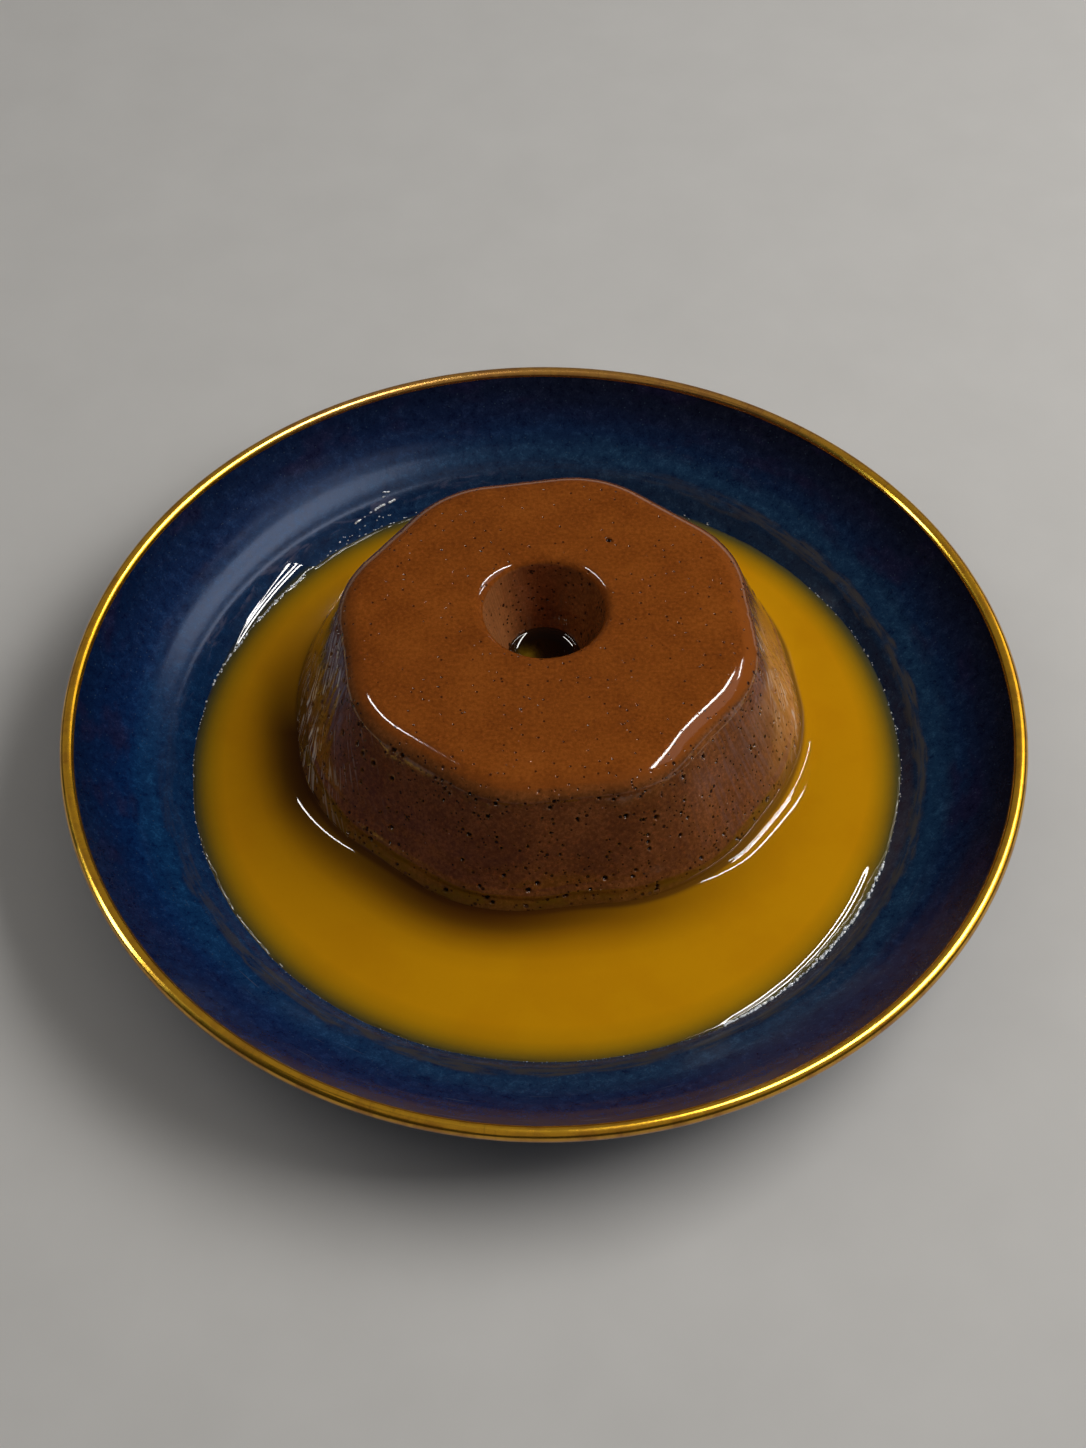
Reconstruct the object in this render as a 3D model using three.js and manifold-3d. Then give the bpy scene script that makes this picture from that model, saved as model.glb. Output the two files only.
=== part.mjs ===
// Creme caramel flan standing in its sauce on a round coupe plate.
// Millimetres, +Z up. The origin is the centre of the plate's foot ring, on the
// surface that the plate stands on. -Y is the front of the dish.

import * as THREE from 'three';
import * as BufferGeometryUtils from 'three/addons/utils/BufferGeometryUtils.js';
import Module from 'manifold-3d';

const wasm = await Module();
wasm.setup();

// Gap that touching pieces keep between them.
const GAP = 0.3;

// Points closer than this are one point when a mesh is made ready for a cut.
const WELD_DISTANCE = 1e-4;

// Plate: a thrown coupe plate with a flat well, a raised throwing ridge round the
// well, a hollow curved wall and a rounded lip.
const PLATE_RADIUS = 135;
const PLATE_HEIGHT = 34;
const PLATE_SEGMENTS = 84;
const WELL_FLOOR_Z = 10;
const WELL_FLOOR_RADIUS = 91;
const WELL_BEND_RADIUS = 98.2;
const WELL_TOP_RADIUS = 104.8;
const WELL_TOP_Z = 16.8;
const RIDGE_RADIUS = 107.6;
const RIDGE_Z = 17.9;
const WALL_BEND_RADIUS = 120;
const WALL_BEND_Z = 22;
const LIP_RADIUS = 2;
const LIP_INNER_ANGLE = 160;
const LIP_OUTER_ANGLE = -62;
const OUTSIDE_BEND_RADIUS = 121.5;
const OUTSIDE_BEND_Z = 17;
const SHOULDER_RADIUS = 104;
const SHOULDER_Z = 10;
const UNDERSIDE_BEND_RADIUS = 89;
const UNDERSIDE_Z = 4.8;
const FOOT_OUTER_RADIUS = 70;
const FOOT_WIDTH = 7;
const FOOT_FLARE = 1.4;
const FOOT_ROUND = 0.6;
const OUTSIDE_CURVE_STEPS = 5;
const INSIDE_CURVE_STEPS = 6;

// Flan: a ring-mould custard, an octagon with well-rounded corners whose sides lean
// in towards the top. It stands a little behind the middle of the plate.
const FLAN_CENTRE_X = 1.25;
const FLAN_CENTRE_Y = 15.2;
const FLAN_HEIGHT = 42.5;
const FLAN_SIDES = 8;
const FLAN_TURN = 7.7;
const FLAN_BASE_APOTHEM = 74.8;
const FLAN_BASE_CORNER_RADIUS = 57.4;
const FLAN_TOP_APOTHEM = 55.4;
const FLAN_TOP_CORNER_RADIUS = 30;
const FLAN_EDGE_ROUND = 4.5;
const FLAN_EDGE_STEPS = 4;
const FLAN_BODY_STEPS = 4;
const FLAN_SEGMENTS = 96;

// The custard slumps unevenly. Each row: direction in degrees from +X, how far the
// outline moves out at the base and at the top, and how wide the swelling is.
const FLAN_SWELLINGS = [
  { direction: -87, base: -2.2, top: 0.2, width: 16 },
  { direction: -42, base: 1.8, top: -1.2, width: 15 },
  { direction: -145, base: 0.8, top: 0.5, width: 24 },
  { direction: 30, base: -0.8, top: 0.5, width: 20 },
  { direction: 120, base: 0, top: -0.5, width: 22 },
  { direction: 172, base: -1.2, top: 0.5, width: 16 },
];

// Hole left by the mould's tube. It lies off the flan's centre and narrows downwards.
const HOLE_OFFSET_X = -1.2;
const HOLE_OFFSET_Y = 6;
const HOLE_BASE_RADIUS = 3.6;
const HOLE_TOP_RADIUS = 17.7;
const HOLE_EDGE_ROUND = 4.5;
const HOLE_EDGE_STEPS = 4;
const HOLE_WALL_STEPS = 3;

// Caramel sauce: a pool in the well, and a plug that fills the lower half of the hole.
const POOL_LEVEL_Z = 14.8;
const POOL_EDGE_THICKNESS = 0.35;
const POOL_EDGE_STEPS = 5;
const HOLE_SAUCE_LEVEL_Z = 30;
const HOLE_SAUCE_SEGMENTS = 48;

const FLAN_BASE_Z = WELL_FLOOR_Z + GAP;
const FLAN_TOP_Z = FLAN_BASE_Z + FLAN_HEIGHT;

const radians = THREE.MathUtils.degToRad;
const mix = THREE.MathUtils.lerp;

function mergedPositions(geometry) {
  const bare = geometry.clone();
  bare.deleteAttribute('normal');
  bare.deleteAttribute('uv');
  return BufferGeometryUtils.mergeVertices(bare, WELD_DISTANCE);
}

// Turns a profile of (radius, height) points about +Z.
function turned(profile, segments) {
  const geometry = new THREE.LatheGeometry(profile, segments);
  geometry.rotateX(Math.PI / 2);
  return geometry;
}

function toManifold(geometry) {
  const merged = mergedPositions(geometry);
  const { array } = merged.attributes.position;
  const corners = Array.from(merged.index.array);
  const faces = [];
  for (let i = 0; i < corners.length; i += 3) {
    const [a, b, c] = corners.slice(i, i + 3);
    if (a !== b && b !== c && c !== a) {
      faces.push(a, b, c);
    }
  }
  const mesh = new wasm.Mesh({
    numProp: 3,
    vertProperties: new Float32Array(array),
    triVerts: new Uint32Array(faces),
  });
  return new wasm.Manifold(mesh);
}

function fromManifold(solid) {
  const mesh = solid.getMesh();
  const geometry = new THREE.BufferGeometry();
  geometry.setAttribute('position', new THREE.BufferAttribute(mesh.vertProperties, 3));
  geometry.setIndex(new THREE.BufferAttribute(mesh.triVerts, 1));
  geometry.computeVertexNormals();
  return geometry;
}

// The plate's well between its flat floor and the ridge, as (radius, height).
function wellCurve() {
  return new THREE.QuadraticBezierCurve(
    new THREE.Vector2(WELL_FLOOR_RADIUS, WELL_FLOOR_Z),
    new THREE.Vector2(WELL_BEND_RADIUS, WELL_FLOOR_Z),
    new THREE.Vector2(WELL_TOP_RADIUS, WELL_TOP_Z),
  );
}

// The plate's section, from the underside on the axis out round the foot and the
// lip, and back over the wall and the well to the axis.
function plateProfile() {
  const lipX = PLATE_RADIUS - LIP_RADIUS;
  const lipZ = PLATE_HEIGHT - LIP_RADIUS;
  const footInner = FOOT_OUTER_RADIUS - FOOT_WIDTH;
  const outside = new THREE.Path();
  outside.moveTo(0, UNDERSIDE_Z);
  outside.lineTo(footInner - FOOT_FLARE, UNDERSIDE_Z);
  outside.lineTo(footInner, FOOT_ROUND);
  outside.lineTo(footInner + FOOT_ROUND, 0);
  outside.lineTo(FOOT_OUTER_RADIUS - FOOT_ROUND, 0);
  outside.lineTo(FOOT_OUTER_RADIUS, FOOT_ROUND);
  outside.lineTo(FOOT_OUTER_RADIUS + FOOT_FLARE, UNDERSIDE_Z);
  outside.quadraticCurveTo(UNDERSIDE_BEND_RADIUS, UNDERSIDE_Z, SHOULDER_RADIUS, SHOULDER_Z);
  const lipStart = radians(LIP_OUTER_ANGLE);
  const lipStartX = lipX + LIP_RADIUS * Math.cos(lipStart);
  const lipStartZ = lipZ + LIP_RADIUS * Math.sin(lipStart);
  outside.quadraticCurveTo(OUTSIDE_BEND_RADIUS, OUTSIDE_BEND_Z, lipStartX, lipStartZ);
  outside.absarc(lipX, lipZ, LIP_RADIUS, lipStart, radians(LIP_INNER_ANGLE), false);

  const inside = new THREE.Path();
  const lipEnd = radians(LIP_INNER_ANGLE);
  inside.moveTo(lipX + LIP_RADIUS * Math.cos(lipEnd), lipZ + LIP_RADIUS * Math.sin(lipEnd));
  inside.quadraticCurveTo(WALL_BEND_RADIUS, WALL_BEND_Z, RIDGE_RADIUS, RIDGE_Z);
  inside.quadraticCurveTo(
    (RIDGE_RADIUS + WELL_TOP_RADIUS) / 2,
    RIDGE_Z,
    WELL_TOP_RADIUS,
    WELL_TOP_Z,
  );
  const well = wellCurve();
  inside.quadraticCurveTo(well.v1.x, well.v1.y, well.v0.x, well.v0.y);
  inside.lineTo(0, WELL_FLOOR_Z);
  const insidePoints = inside.getPoints(INSIDE_CURVE_STEPS).slice(1);
  return [...outside.getPoints(OUTSIDE_CURVE_STEPS), ...insidePoints];
}

function plate() {
  const geometry = turned(plateProfile(), PLATE_SEGMENTS);
  const material = new THREE.MeshStandardMaterial({
    color: 0x14264a,
    roughness: 0.15,
    metalness: 0,
  });
  return named('plate', geometry, material);
}

// Distance from the centre of a regular polygon with rounded corners to its outline.
function roundedPolygonRadius(angle, apothem, cornerRadius) {
  const sector = (2 * Math.PI) / FLAN_SIDES;
  const fromFace = THREE.MathUtils.euclideanModulo(
    angle - radians(FLAN_TURN) + sector / 2,
    sector,
  );
  const off = Math.abs(fromFace - sector / 2);
  const inner = apothem - cornerRadius;
  const flatHalfWidth = inner * Math.tan(sector / 2);
  if (apothem * Math.tan(off) <= flatHalfWidth) {
    return apothem / Math.cos(off);
  }
  const cornerDistance = inner / Math.cos(sector / 2);
  const aside = cornerDistance * Math.sin(sector / 2 - off);
  const along = cornerDistance * Math.cos(sector / 2 - off);
  return along + Math.sqrt(cornerRadius * cornerRadius - aside * aside);
}

// How far the flan's outline swells in one direction, at a share of its height.
function swelling(angle, rise) {
  let total = 0;
  for (const { direction, base, top, width } of FLAN_SWELLINGS) {
    const turn = THREE.MathUtils.euclideanModulo(angle - radians(direction) + Math.PI, 2 * Math.PI);
    const spread = (turn - Math.PI) / radians(width);
    total += mix(base, top, rise) * Math.exp(-spread * spread);
  }
  return total;
}

// Distance from the flan's centre to its side, at a height share from 0 to 1.
// inset draws the outline in on the top's rounded edge, and is negative for a clearance.
function flanRadius(angle, rise, inset) {
  const apothem = mix(FLAN_BASE_APOTHEM, FLAN_TOP_APOTHEM, rise) - inset;
  const corner = mix(FLAN_BASE_CORNER_RADIUS, FLAN_TOP_CORNER_RADIUS, rise) - inset;
  return roundedPolygonRadius(angle, apothem, corner) + swelling(angle, rise);
}

// A round corner between a flat top and a wall that leans away from it, as insets
// from the wall's line at the top and depths below the top.
function roundedEdge(radius, lean, steps) {
  const turn = Math.PI / 2 - lean;
  const reach = radius * Math.tan(turn / 2);
  const edge = [];
  for (let i = 0; i <= steps; i += 1) {
    const tilt = (turn * i) / steps;
    edge.push({ inset: reach - radius * Math.sin(tilt), depth: radius * (1 - Math.cos(tilt)) });
  }
  return edge;
}

// Makes one closed ring-shaped body from outlines that all have the same number of
// points. Each outline joins the next one, and the last joins the first.
function joinedOutlines(outlines) {
  const count = outlines[0].length;
  const positions = outlines.flat().flatMap((point) => point.toArray());
  const faces = [];
  for (let i = 0; i < outlines.length; i += 1) {
    const here = i * count;
    const next = ((i + 1) % outlines.length) * count;
    for (let j = 0; j < count; j += 1) {
      const k = (j + 1) % count;
      faces.push(here + j, here + k, next + k, here + j, next + k, next + j);
    }
  }
  const geometry = new THREE.BufferGeometry();
  geometry.setAttribute('position', new THREE.Float32BufferAttribute(positions, 3));
  geometry.setIndex(faces);
  geometry.computeVertexNormals();
  return geometry;
}

// One closed outline about a centre, its radius given by a function of the angle.
function outline(centreX, centreY, z, radiusAt) {
  const points = [];
  for (let i = 0; i < FLAN_SEGMENTS; i += 1) {
    const angle = (2 * Math.PI * i) / FLAN_SEGMENTS;
    const radius = radiusAt(angle);
    points.push(new THREE.Vector3(
      centreX + radius * Math.cos(angle),
      centreY + radius * Math.sin(angle),
      z,
    ));
  }
  return points;
}

// The flan's outer outlines, from the base up the side and over the rounded edge.
function flanSideOutlines() {
  const outlines = [];
  const lean = Math.atan((FLAN_BASE_APOTHEM - FLAN_TOP_APOTHEM) / FLAN_HEIGHT);
  const edge = roundedEdge(FLAN_EDGE_ROUND, lean, FLAN_EDGE_STEPS).reverse();
  const bodyTop = 1 - edge[0].depth / FLAN_HEIGHT;
  for (let i = 0; i < FLAN_BODY_STEPS; i += 1) {
    const rise = (bodyTop * i) / FLAN_BODY_STEPS;
    const z = FLAN_BASE_Z + rise * FLAN_HEIGHT;
    outlines.push(outline(0, 0, z, (angle) => flanRadius(angle, rise, 0)));
  }
  for (const { inset, depth } of edge) {
    outlines.push(outline(0, 0, FLAN_TOP_Z - depth, (angle) => flanRadius(angle, 1, inset)));
  }
  return outlines;
}

function holeRadius(z) {
  return mix(HOLE_BASE_RADIUS, HOLE_TOP_RADIUS, (z - FLAN_BASE_Z) / FLAN_HEIGHT);
}

// The hole's outlines, from its rounded mouth down the wall to the base.
function holeOutlines() {
  const heights = [];
  const lean = Math.atan((HOLE_TOP_RADIUS - HOLE_BASE_RADIUS) / FLAN_HEIGHT);
  const mouth = roundedEdge(HOLE_EDGE_ROUND, lean, HOLE_EDGE_STEPS);
  for (const { inset, depth } of mouth) {
    heights.push({ z: FLAN_TOP_Z - depth, radius: HOLE_TOP_RADIUS + inset });
  }
  const wallTop = FLAN_TOP_Z - mouth[mouth.length - 1].depth;
  for (let i = 1; i <= HOLE_WALL_STEPS; i += 1) {
    const z = mix(wallTop, FLAN_BASE_Z, i / HOLE_WALL_STEPS);
    heights.push({ z, radius: holeRadius(z) });
  }
  return heights.map(({ z, radius }) => outline(HOLE_OFFSET_X, HOLE_OFFSET_Y, z, () => radius));
}

function flan() {
  const geometry = joinedOutlines([...flanSideOutlines(), ...holeOutlines()]);
  const material = new THREE.MeshStandardMaterial({
    color: 0x6e3a1a,
    roughness: 0.3,
    metalness: 0,
  });
  const mesh = named('flan', geometry, material);
  mesh.position.set(FLAN_CENTRE_X, FLAN_CENTRE_Y, 0);
  return mesh;
}

// A plain block of the flan's outer shape, larger by the gap, that cuts its place out
// of the pool. Its profile has a unit radius, and its heights are shares of the flan's.
function flanClearance() {
  const poolRise = (POOL_LEVEL_Z - FLAN_BASE_Z) / FLAN_HEIGHT;
  const profile = [
    new THREE.Vector2(0, -poolRise),
    new THREE.Vector2(1, -poolRise),
    new THREE.Vector2(1, 0),
    new THREE.Vector2(1, poolRise),
    new THREE.Vector2(1, 2 * poolRise),
    new THREE.Vector2(0, 2 * poolRise),
  ];
  const block = turned(profile, FLAN_SEGMENTS);
  const { position } = block.attributes;
  for (let i = 0; i < position.count; i += 1) {
    const unit = Math.hypot(position.getX(i), position.getY(i));
    const angle = Math.atan2(position.getY(i), position.getX(i));
    const rise = position.getZ(i);
    const radius = unit * flanRadius(angle, rise, -GAP);
    position.setXYZ(
      i,
      FLAN_CENTRE_X + radius * Math.cos(angle),
      FLAN_CENTRE_Y + radius * Math.sin(angle),
      FLAN_BASE_Z + rise * FLAN_HEIGHT,
    );
  }
  return block;
}

// The pool lies on the well and ends in a thin edge where the well rises out of it.
function poolProfile() {
  const well = wellCurve();
  const edgeZ = POOL_LEVEL_Z - POOL_EDGE_THICKNESS;
  const rise = (edgeZ - GAP - WELL_FLOOR_Z) / (WELL_TOP_Z - WELL_FLOOR_Z);
  const edgePlace = Math.sqrt(rise);
  const profile = [new THREE.Vector2(0, WELL_FLOOR_Z + GAP)];
  for (let i = 0; i <= POOL_EDGE_STEPS; i += 1) {
    const point = well.getPoint((edgePlace * i) / POOL_EDGE_STEPS);
    profile.push(new THREE.Vector2(point.x - GAP, point.y + GAP));
  }
  const edgeRadius = profile[profile.length - 1].x;
  profile.push(new THREE.Vector2(edgeRadius, POOL_LEVEL_Z));
  profile.push(new THREE.Vector2(0, POOL_LEVEL_Z));
  return profile;
}

function sauceMaterial() {
  return new THREE.MeshStandardMaterial({
    color: 0xc07a12,
    roughness: 0.1,
    metalness: 0,
  });
}

function saucePool() {
  const disc = toManifold(turned(poolProfile(), PLATE_SEGMENTS));
  const pool = disc.subtract(toManifold(flanClearance()));
  return named('sauce_pool', fromManifold(pool), sauceMaterial());
}

function holeSauce() {
  const profile = [
    new THREE.Vector2(0, FLAN_BASE_Z),
    new THREE.Vector2(holeRadius(FLAN_BASE_Z) - GAP, FLAN_BASE_Z),
    new THREE.Vector2(holeRadius(HOLE_SAUCE_LEVEL_Z) - GAP, HOLE_SAUCE_LEVEL_Z),
    new THREE.Vector2(0, HOLE_SAUCE_LEVEL_Z),
  ];
  const geometry = turned(profile, HOLE_SAUCE_SEGMENTS);
  const mesh = named('hole_sauce', geometry, sauceMaterial());
  mesh.position.set(FLAN_CENTRE_X + HOLE_OFFSET_X, FLAN_CENTRE_Y + HOLE_OFFSET_Y, 0);
  return mesh;
}

function named(name, geometry, material) {
  const mesh = new THREE.Mesh(geometry, material);
  mesh.name = name;
  return mesh;
}

const group = new THREE.Group();
group.add(plate(), flan(), saucePool(), holeSauce());

export default group;
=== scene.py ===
"""Looks of the creme caramel flan on its plate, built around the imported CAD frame.

Metres, +Z up, -Y is the front. Angles are degrees from +X, anticlockwise seen from above.
"""

import math

import bmesh
import bpy
import numpy as np
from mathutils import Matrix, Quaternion, Vector


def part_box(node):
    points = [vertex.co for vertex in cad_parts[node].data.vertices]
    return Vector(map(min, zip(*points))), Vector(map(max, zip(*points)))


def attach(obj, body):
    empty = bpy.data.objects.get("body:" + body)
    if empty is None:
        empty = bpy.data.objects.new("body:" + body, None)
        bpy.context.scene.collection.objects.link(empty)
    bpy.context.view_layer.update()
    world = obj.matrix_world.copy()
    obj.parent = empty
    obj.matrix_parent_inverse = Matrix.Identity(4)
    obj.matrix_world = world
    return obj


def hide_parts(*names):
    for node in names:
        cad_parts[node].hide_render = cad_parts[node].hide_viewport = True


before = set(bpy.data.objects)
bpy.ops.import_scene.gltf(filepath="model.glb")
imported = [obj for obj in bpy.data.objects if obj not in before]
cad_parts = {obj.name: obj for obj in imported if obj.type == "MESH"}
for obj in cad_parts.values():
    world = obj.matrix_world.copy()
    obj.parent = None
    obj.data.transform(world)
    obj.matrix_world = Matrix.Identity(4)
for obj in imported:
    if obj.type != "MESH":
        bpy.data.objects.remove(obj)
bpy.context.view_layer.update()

MM = 0.001
BODY = "root"
Socket = bpy.types.NodeSocket

# Camera: a long normal lens that looks down at the front.
CAMERA_PLACE = (-0.00025, -0.44474, 0.61048)
CAMERA_TILT = 37.289
CAMERA_LENS = 64.64
SENSOR_WIDTH = 36.0

# Lights: what they face, and how far from it they stand.
LIGHT_TARGET = Vector((0, 0, 0.03))
LIGHT_DISTANCE = 1.3

# Plate: the CAD source's section, its ridge softened, with throwing rings on the wall.
PLATE_TURNS = 360
PLATE_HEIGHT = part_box("plate")[1].z
PLATE_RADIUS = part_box("plate")[1].x
WELL_FLOOR_Z = 10 * MM
WELL_FLOOR_RADIUS = 91 * MM
WELL_BEND_RADIUS = 98.2 * MM
WELL_TOP = (104.8 * MM, 16.8 * MM)
RIDGE = (107.6 * MM, 17.9 * MM)
RIDGE_SOFTNESS = 1.6 * MM
WALL_BEND = (120 * MM, 22 * MM)
WALL_RADIUS = 110 * MM
LIP_RADIUS = 2 * MM
LIP_CENTRE = (PLATE_RADIUS - LIP_RADIUS, PLATE_HEIGHT - LIP_RADIUS)
LIP_INNER_ANGLE = 160
LIP_OUTER_ANGLE = -62
OUTSIDE_BEND = (121.5 * MM, 17 * MM)
SHOULDER = (104 * MM, 10 * MM)
UNDERSIDE_BEND_RADIUS = 89 * MM
UNDERSIDE_Z = 4.8 * MM
FOOT_OUTER_RADIUS = 70 * MM
FOOT_INNER_RADIUS = 63 * MM
FOOT_FLARE = 1.4 * MM
FOOT_ROUND = 0.6 * MM
THROWING_RING_SPACING = 4.6 * MM
THROWING_RING_DEPTH = 0.02 * MM

# Gilding painted over the lip.
GILDING_TURNS = 720
GILDING_THICKNESS = 0.1 * MM
GILDING_EMBEDDED = 0.35 * MM
GILDING_INNER_ANGLE = 172
GILDING_OUTER_ANGLE = -48

# Flan: the CAD source's form with rounder edges and a slight droop. Its apothems and corner
# radii are the base's and the top's, and FLAN_MIDDLE is a radius halfway up. The lean further
# down is how the painted highlight runs on it lean, in radians per square metre.
FLAN_TURNS = 576
FLAN_CENTRE = np.array([1.25, 15.2]) * MM
FLAN_BASE_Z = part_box("flan")[0].z
FLAN_TOP_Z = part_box("flan")[1].z
FLAN_HEIGHT = FLAN_TOP_Z - FLAN_BASE_Z
FLAN_SIDES = 8
FLAN_TURN = 7.7
FLAN_APOTHEMS = (74.8 * MM, 55.4 * MM)
FLAN_CORNERS = (57.4 * MM, 30 * MM)
FLAN_MIDDLE = 68 * MM
FLAN_EDGE_ROUND = 7.5 * MM
FLAN_DROOP = 0.3 * MM
FLAN_DROOP_WIDTH = 9 * MM
FLAN_LEAN = (FLAN_APOTHEMS[0] - FLAN_APOTHEMS[1]) / FLAN_HEIGHT
LAYERING_RISE = 0.27
LAYERING_STEP = 0.36 * MM
RUN_LEAN = 190
# direction, outward move at the base, outward move at the top (mm), width
FLAN_SWELLINGS = (
    (-87, -2.2, 0.2, 16),
    (-42, 1.8, -1.2, 15),
    (-145, 0.8, 0.5, 24),
    (30, -0.8, 0.5, 20),
    (120, 0.0, -0.5, 22),
    (172, -1.2, 0.5, 16),
)
HOLE_CENTRE = FLAN_CENTRE + np.array([-1.2, 6]) * MM
HOLE_BASE_RADIUS = 3.6 * MM
HOLE_TOP_RADIUS = 17.7 * MM
HOLE_EDGE_ROUND = 3.6 * MM
# Bubbles in the custard's skin: how many on the side, the top and in the hole, and the mean
# and spread of the heights that those on the side keep to, as shares of the flan's.
SIDE_PORES, TOP_PORES, HOLE_PORES = 500, 24, 26
PORE_BANDS = ((0.885, 0.018), (0.83, 0.05), (0.62, 0.1), (0.4, 0.12), (0.22, 0.05), (0.12, 0.04))
# Single large ones on the top: X, Y, radius and depth (mm). A blister is a negative depth.
TOP_BUBBLES = (
    (18.4, 45.9, 0.95, 0.55),
    (19.7, 45.5, 0.62, -0.55),
    (-1.3, -41.9, 1.05, 0.8),
    (-3.9, -40.6, 0.6, 0.5),
    (3.6, -37.5, 0.42, 0.35),
    (9.6, -39.3, 0.5, 0.4),
)

# Sauce.
POOL_TURNS = 1024
POOL_LEVEL_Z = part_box("sauce_pool")[1].z
POOL_RADIUS = 101 * MM
POOL_FILM = 0.08 * MM
POOL_SUNK = 0.12 * MM
POOL_BANK_SLOPE = 0.75
POOL_BLEND = 0.1 * MM
FILM_BEYOND = 0.45 * MM
FILM_WEDGE_RADIUS = 103.6 * MM
RIPPLE_WIDTH = 1.2 * MM
RIPPLE_SLOPE = 0.37
MENISCUS_SPAN = 2.9 * MM
BROWN_SPAN = 11.5 * MM
HOLE_SAUCE_TURNS = 128
HOLE_SAUCE_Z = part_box("hole_sauce")[1].z
HOLE_MENISCUS = 1.4 * MM
HOLE_MENISCUS_SPAN = 1.5 * MM
# Froth: runs of beads along the sauce's line. From, to, spacing, least and greatest radius
# (mm), painted sparkle, beyond the line at the start and at the end, scatter (mm).
BEAD_RUNS = (
    (-63, -22, 0.33, 0.14, 0.46, 1.0, 0, 0, 0.2),
    (137, 166, 0.5, 0.14, 0.36, 1.0, 0, 0, 0.16),
    (166, 202, 1.9, 0.1, 0.22, 0.7, 0, 0, 0.1),
    (-27, 40, 1.9, 0.1, 0.22, 0.6, 0, 0, 0.14),
    (60, 137, 2.4, 0.12, 0.24, 0.7, 0.2, 0.6, 0.3),
    (202, 299, 2.6, 0.07, 0.13, 0.3, 0, 0, 0.12),
    # white beads up the ridge at the back left, painted highlights
    (116, 124, 0.45, 0.2, 0.42, 1.0, 5.4, 3.9, 0.07),
    (116.4, 117.6, 0.35, 0.2, 0.36, 1.0, 8.2, 8.4, 0.08),
    (117.0, 117.8, 0.35, 0.16, 0.26, 1.0, 6.9, 7.0, 0.08),
    (112, 130, 2.4, 0.14, 0.26, 0.9, 2.9, 1.7, 0.35),
)


# Numbers and meshes


def ease(low, high, values):
    """0 at low, 1 at high, smooth between them. low may be the greater."""
    share = np.clip((values - low) / (high - low), 0, 1)
    return share * share * (3 - 2 * share)


def plateau(values, start, full, full_end, end):
    """1 from full to full_end, easing to 0 at start and at end."""
    return ease(start, full, values) * ease(end, full_end, values)


def between(start, end, share):
    return start + (end - start) * share


def soft_max(first, second, blend):
    """The greater of two, rounded off where they cross."""
    return first + blend * np.logaddexp(0, (second - first) / blend)


def lattice_noise(points, lump, seed):
    """Smooth noise from -1 to 1 at each point, in lumps of the given size in mm."""
    cells = points / (lump * MM)
    corner = np.floor(cells).astype(np.int64)
    part = cells - corner
    eased = part * part * (3 - 2 * part)
    total = np.zeros(len(cells))
    for step in np.ndindex(2, 2, 2):
        weight = np.prod(np.where(step, eased, 1 - eased), axis=1)
        mixed = (corner + step) * (73856093, 19349663, 83492791)
        value = (mixed[:, 0] ^ mixed[:, 1] ^ mixed[:, 2] ^ (seed * 2654435761)) & 0xFFFFFFFF
        value = ((value ^ (value >> 13)) * 1274126177) & 0xFFFFFFFF
        total += weight * ((value ^ (value >> 16)) / 2**31 - 1)
    return total


def layered_noise(points, lump, seed, layers=3):
    total = np.zeros(len(points))
    for layer in range(layers):
        total += lattice_noise(points, lump / 2**layer, seed + layer) / 2**layer
    return total


def round_noise(angles, radius, lump, seed, layers=3):
    """Noise along a circle about +Z."""
    return layered_noise(ring_row(angles, radius, 0), lump, seed, layers)


def full_turn(count):
    return np.linspace(0, 2 * math.pi, count, endpoint=False)


def ring_row(angles, radius, height, centre=(0, 0)):
    """Points round an upright axis."""
    x = centre[0] + radius * np.cos(angles)
    y = centre[1] + radius * np.sin(angles)
    return np.stack([x, y, height * np.ones_like(angles)], 1)


def angles_about(points, centre):
    return np.arctan2(points[:, 1] - centre[1], points[:, 0] - centre[0])


def from_axis(points, centre=(0, 0)):
    return np.hypot(points[:, 0] - centre[0], points[:, 1] - centre[1])


def turn_from(angles, direction):
    """Degrees from a direction to each angle, from -180 to 180."""
    return (np.degrees(angles) - direction + 180) % 360 - 180


def bump_near(angles, direction, width):
    """1 in one direction, falling away on both sides."""
    return np.exp(-((turn_from(angles, direction) / width) ** 2))


def bumps(angles, *each):
    """The sum of several bumps: an amount, a direction and a width each."""
    return sum(amount * bump_near(angles, direction, width) for amount, direction, width in each)


def bezier(start, control, end, steps):
    """Points of a quadratic curve, without the first."""
    share = (np.arange(1, steps + 1) / steps)[:, None]
    return (1 - share) ** 2 * start + 2 * share * (1 - share) * control + share**2 * end


def turned(profile, turns, centre=(0, 0)):
    """Rows of points, one for each (radius, height) of the profile."""
    return np.array([ring_row(full_turn(turns), *step, centre) for step in profile])


def ring_mesh(name, rows, close=True):
    """A mesh of quads over rows of points that go round. Closed: the last row joins the
    first. Otherwise the first and the last row each end in one point, their middle."""
    rows = np.asarray(rows)
    count, turns = rows.shape[:2]
    points = rows.reshape(-1, 3)
    index = np.arange(count * turns).reshape(count, turns)
    if close:
        index = np.vstack([index, index[:1]])
    ahead = np.roll(index, -1, axis=1)
    faces = np.stack([index[:-1], ahead[:-1], ahead[1:], index[1:]], 2).reshape(-1, 4).tolist()
    if not close:
        points = np.vstack([points, rows[[0, -1]].mean(axis=1)])
        last = len(points) - 1
        faces += [(b, a, last - 1) for a, b in zip(index[0].tolist(), ahead[0].tolist())]
        faces += [(a, b, last) for a, b in zip(index[-1].tolist(), ahead[-1].tolist())]
    return face_mesh(name, points, faces)


def face_mesh(name, points, faces):
    mesh = bpy.data.meshes.new(name)
    mesh.from_pydata(np.asarray(points).tolist(), [], faces)
    mesh.update()
    return mesh


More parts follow.
